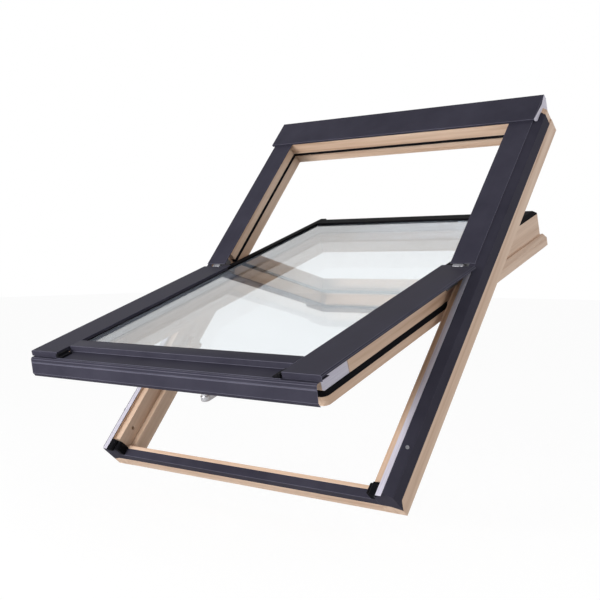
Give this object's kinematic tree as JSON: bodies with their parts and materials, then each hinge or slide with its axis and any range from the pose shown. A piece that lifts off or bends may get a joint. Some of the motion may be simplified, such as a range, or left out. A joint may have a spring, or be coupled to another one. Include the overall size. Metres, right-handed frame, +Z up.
{
  "type": "centre-pivot roof window",
  "caption": "Pitched roof window with a pine frame and a glazed pine sash that turns on a pivot at mid height, under dark folded aluminium covers, with a turning handle and lock bolt.",
  "frame": {"origin": "middle of the bare timber band on the outer face of the frame's bottom rail", "axes": "+Z up, +X to the right seen from outside, +Y into the roof; the window stands at a roof pitch of 50 degrees with its weather side towards -Y and +Z"},
  "size_m": [0.78, 0.9728, 0.8428],
  "materials": {
    "pine": "clear lacquer, satin",
    "cladding": "dark grey-brown powder coat, satin",
    "pale_strip": "pale grey, satin",
    "gasket": "matte",
    "bead": "matte black",
    "black_plastic": "matte black",
    "glass": "clear float glass",
    "spacer": "grey, satin",
    "steel": "zinc plated",
    "bush": "matte black",
    "handle": "satin silver"
  },
  "bodies": {
    "frame": {"frame_bottom_rail": "pine", "frame_bottom_cladding": "cladding", "frame_top_rail": "pine", "top_stop": "pine", "frame_gasket": "gasket", "hood": "cladding", "lock_keep": "steel", "frame_screws": "steel", "frame_jamb_left": "pine", "frame_jamb_right": "pine", "jamb_cladding_left": "cladding", "jamb_cladding_right": "cladding", "lower_stop_left": "pine", "lower_stop_right": "pine", "upper_stop_left": "pine", "upper_stop_right": "pine", "upper_cover_left": "cladding", "upper_cover_right": "cladding", "seal_strip_left": "pale_strip", "seal_strip_right": "pale_strip", "corner_block_left": "black_plastic", "corner_block_right": "black_plastic", "hinge_frame_plate_left": "steel", "hinge_frame_plate_right": "steel", "pivot_pin_left": "steel", "pivot_pin_right": "steel"},
    "sash": {"sash_bottom_rail": "pine", "sash_top_rail": "pine", "top_lath": "pine", "sash_stile_left": "pine", "sash_stile_right": "pine", "lower_lath_left": "pine", "lower_lath_right": "pine", "upper_lath_left": "pine", "upper_lath_right": "pine", "sash_bottom_cover": "cladding", "sash_fascia": "cladding", "sash_side_cover_left": "cladding", "sash_side_cover_right": "cladding", "corner_plate_left": "pale_strip", "corner_plate_right": "pale_strip", "sash_gasket": "gasket", "bead_gasket": "gasket", "glazing_tape": "gasket", "top_bead": "bead", "upper_bead_left": "bead", "upper_bead_right": "bead", "channel_clips": "black_plastic", "inner_pane": "glass", "outer_pane": "glass", "glass_spacer": "spacer", "sash_screws": "steel", "hinge_sash_plate_left": "steel", "hinge_sash_plate_right": "steel", "friction_bush_left": "bush", "friction_bush_right": "bush", "handle_rosette": "handle"},
    "lever": {"handle_lever": "handle", "handle_spindle": "steel"},
    "bolt": {"lock_bolt": "steel"}
  },
  "joints": [
    {"name": "sash_pivot", "type": "hinge", "parent": "frame", "child": "sash", "pos_m": [0, 0.28876, 0.4437], "axis": [-1, 0, 0], "range_deg": [-31.5, 98.5]},
    {"name": "handle_turn", "type": "hinge", "parent": "sash", "child": "lever", "pos_m": [0, -0.11718, 0.21507], "axis": [0, -0.3173, 0.9483], "range_deg": [0, 90]},
    {"name": "bolt_slide", "type": "slide", "parent": "sash", "child": "bolt", "axis": [0, -0.9483, -0.3173], "range_m": [0, 0.016]}
  ],
  "couplings": [
    {"joint": "bolt_slide", "follows": "handle_turn", "m_per_rad": 0.010181}
  ]
}
